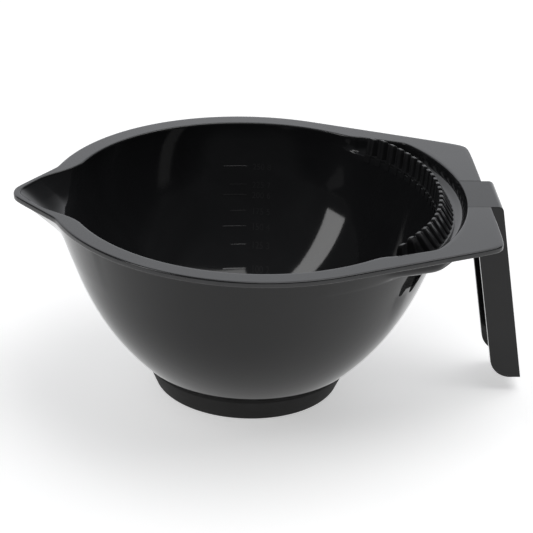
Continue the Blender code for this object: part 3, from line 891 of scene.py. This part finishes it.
rubber = bpy.data.materials.new("black_rubber")
rubber.use_nodes = True
rubber.node_tree.nodes.clear()
nodes, links = rubber.node_tree.nodes, rubber.node_tree.links
rubber_colour = nodes.new("NodeFrame")
rubber_colour.label = "Dusty black"
rubber_relief = nodes.new("NodeFrame")
rubber_relief.label = "Matte grain"
place = nodes.new("ShaderNodeTexCoord")
place.label = "Place on the base"
place.location = (-1100, 0)
bloom = nodes.new("ShaderNodeTexNoise")
bloom.label = "Grey bloom of the rubber"
bloom.parent = rubber_colour
bloom.location = (-850, 250)
bloom.inputs["Scale"].default_value = 120
bloom.inputs["Detail"].default_value = 5
shades = nodes.new("ShaderNodeValToRGB")
shades.label = "Black to dusty"
shades.parent = rubber_colour
shades.location = (-600, 250)
shades.color_ramp.elements[0].color = (0.006, 0.0059, 0.0058, 1)
shades.color_ramp.elements[1].color = (0.014, 0.0136, 0.0132, 1)
dull = nodes.new("ShaderNodeMapRange")
dull.label = "Matte, never shiny"
dull.parent = rubber_colour
dull.location = (-600, 0)
dull.inputs["To Min"].default_value = 0.6
dull.inputs["To Max"].default_value = 0.85
grain = nodes.new("ShaderNodeTexNoise")
grain.label = "Eroded mould grain"
grain.parent = rubber_relief
grain.location = (-850, -300)
grain.inputs["Scale"].default_value = 2600
grain.inputs["Detail"].default_value = 3
relief = nodes.new("ShaderNodeBump")
relief.label = "Grain relief"
relief.parent = rubber_relief
relief.location = (-600, -300)
relief.inputs["Strength"].default_value = 0.4
relief.inputs["Distance"].default_value = 0.00008
shader = nodes.new("ShaderNodeBsdfPrincipled")
shader.label = "Rubber"
shader.location = (-250, 0)
shader.inputs["IOR"].default_value = 1.48
shader.inputs["Specular IOR Level"].default_value = 0.35
output = nodes.new("ShaderNodeOutputMaterial")
output.label = "Surface"
output.location = (50, 0)
links.new(place.outputs["Object"], bloom.inputs["Vector"])
links.new(bloom.outputs["Fac"], shades.inputs["Fac"])
links.new(shades.outputs["Color"], shader.inputs["Base Color"])
links.new(bloom.outputs["Fac"], dull.inputs["Value"])
links.new(dull.outputs["Result"], shader.inputs["Roughness"])
links.new(place.outputs["Object"], grain.inputs["Vector"])
links.new(grain.outputs["Fac"], relief.inputs["Height"])
links.new(relief.outputs["Normal"], shader.inputs["Normal"])
links.new(shader.outputs["BSDF"], output.inputs["Surface"])
base.data.materials.append(rubber)
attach(base, "root")
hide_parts("nonslip_base")

# Floor: a wide sheet of plain white paper that the bowl stands on. A little light of
# its own stands for the white room that it lies in.
FLOOR_RADIUS = 4.0
floor_shape = bmesh.new()
bmesh.ops.create_circle(floor_shape, cap_ends=True, cap_tris=True, segments=96,
                        radius=FLOOR_RADIUS)
floor = shape_object("paper_floor", floor_shape)
paper = bpy.data.materials.new("white_paper")
paper.use_nodes = True
paper.node_tree.nodes.clear()
nodes, links = paper.node_tree.nodes, paper.node_tree.links
shader = nodes.new("ShaderNodeBsdfPrincipled")
shader.label = "White paper"
shader.location = (0, 0)
shader.inputs["Base Color"].default_value = (0.88, 0.88, 0.88, 1)
shader.inputs["Roughness"].default_value = 0.9
shader.inputs["Emission Color"].default_value = (1, 1, 1, 1)
shader.inputs["Emission Strength"].default_value = 0.5
output = nodes.new("ShaderNodeOutputMaterial")
output.label = "Surface"
output.location = (300, 0)
links.new(shader.outputs["BSDF"], output.inputs["Surface"])
floor.data.materials.append(paper)

# Studio: a white sweep behind the object, dark towards the camera, with a broad soft
# light overhead and an upright soft light at the left front. Sizes are in metres, and
# the sweep starts and ends at these shares of a direction's Y and Z.
SWEEP_LIGHT = 1.13
ROOM_DARK = 0.045
SWEEP_START = (0.3, 0.65)
SWEEP_END = (0.5, 0.85)
OVERHEAD_PLACE = (0.565, 0.143, 1.5)
OVERHEAD_AIM = (0.565, 0.143, 0)
UPRIGHT_PLACE = (-1.02, -0.385, 1.12)
UPRIGHT_AIM = (0.04, -0.69, 0.95)


def soft_light(name, place, aim, size, turn, power):
    """A rectangular soft box at place, facing aim and turned about its own axis."""
    light = bpy.data.lights.new(name, "AREA")
    light.shape = "RECTANGLE"
    light.size, light.size_y = size
    light.energy = power
    lamp = bpy.data.objects.new(name, light)
    bpy.context.scene.collection.objects.link(lamp)
    away = Vector(place) - Vector(aim)
    facing = away.to_track_quat("Z", "Y").to_matrix().to_4x4()
    lamp.matrix_world = Matrix.Translation(place) @ facing @ Matrix.Rotation(turn, 4, "Z")
    lamp.visible_camera = False


soft_light("overhead_light", OVERHEAD_PLACE, OVERHEAD_AIM, size=(1.33, 1.29),
           turn=12 * DEGREE, power=13)
soft_light("upright_light", UPRIGHT_PLACE, UPRIGHT_AIM, size=(0.45, 1.38),
           turn=13 * DEGREE, power=6.9)

world = bpy.data.worlds.new("studio")
bpy.context.scene.world = world
world.use_nodes = True
world.node_tree.nodes.clear()
nodes, links = world.node_tree.nodes, world.node_tree.links
direction = nodes.new("ShaderNodeTexCoord")
direction.label = "Direction in the room"
direction.location = (-1100, 0)
parts = nodes.new("ShaderNodeSeparateXYZ")
parts.label = "Towards the sweep, and up"
parts.location = (-900, 0)
backward = nodes.new("ShaderNodeMapRange")
backward.label = "Sweep behind the bowl"
backward.location = (-650, 150)
backward.interpolation_type = "SMOOTHSTEP"
backward.inputs["From Min"].default_value = SWEEP_START[0]
backward.inputs["From Max"].default_value = SWEEP_START[1]
upward = nodes.new("ShaderNodeMapRange")
upward.label = "Sweep ends above"
upward.location = (-650, -150)
upward.interpolation_type = "SMOOTHSTEP"
upward.inputs["From Min"].default_value = SWEEP_END[0]
upward.inputs["From Max"].default_value = SWEEP_END[1]
upward.inputs["To Min"].default_value = 1
upward.inputs["To Max"].default_value = 0
both = nodes.new("ShaderNodeMath")
both.label = "Part of the room that is white"
both.location = (-400, 0)
both.operation = "MULTIPLY"
level = nodes.new("ShaderNodeMapRange")
level.label = "Dark room to white sweep"
level.location = (-200, 0)
level.inputs["To Min"].default_value = ROOM_DARK
level.inputs["To Max"].default_value = SWEEP_LIGHT
sky = nodes.new("ShaderNodeBackground")
sky.label = "Room light"
sky.location = (0, 0)
sky.inputs["Color"].default_value = (0.95, 0.965, 1, 1)
world_output = nodes.new("ShaderNodeOutputWorld")
world_output.label = "Room"
world_output.location = (200, 0)
links.new(direction.outputs["Generated"], parts.inputs["Vector"])
links.new(parts.outputs["Y"], backward.inputs["Value"])
links.new(parts.outputs["Z"], upward.inputs["Value"])
links.new(backward.outputs["Result"], both.inputs[0])
links.new(upward.outputs["Result"], both.inputs[1])
links.new(both.outputs["Value"], level.inputs["Value"])
links.new(level.outputs["Result"], sky.inputs["Strength"])
links.new(sky.outputs["Background"], world_output.inputs["Surface"])
bpy.context.scene.view_settings.view_transform = "Standard"

# Camera: a long lens from the front, a little to the left and above.
CAMERA_LENS = 151.46
CAMERA_AZIMUTH = -4.712 * DEGREE
CAMERA_ELEVATION = 25.606 * DEGREE
CAMERA_ROLL = 2.194 * DEGREE
CAMERA_DISTANCE = 776.99 * MM
CAMERA_TARGET = Vector((5.696 * MM, 0, 42.771 * MM))

lens = bpy.data.cameras.new("camera")
lens.lens = CAMERA_LENS
lens.sensor_width = 36
lens.clip_start = 0.01
camera = bpy.data.objects.new("camera", lens)
bpy.context.scene.collection.objects.link(camera)
level_part = math.cos(CAMERA_ELEVATION)
backwards = Vector((
    math.sin(CAMERA_AZIMUTH) * level_part,
    -math.cos(CAMERA_AZIMUTH) * level_part,
    math.sin(CAMERA_ELEVATION),
))
facing = backwards.to_track_quat("Z", "Y").to_matrix().to_4x4()
rolled = facing @ Matrix.Rotation(CAMERA_ROLL, 4, "Z")
camera.matrix_world = Matrix.Translation(CAMERA_TARGET + backwards * CAMERA_DISTANCE) @ rolled
bpy.context.scene.camera = camera
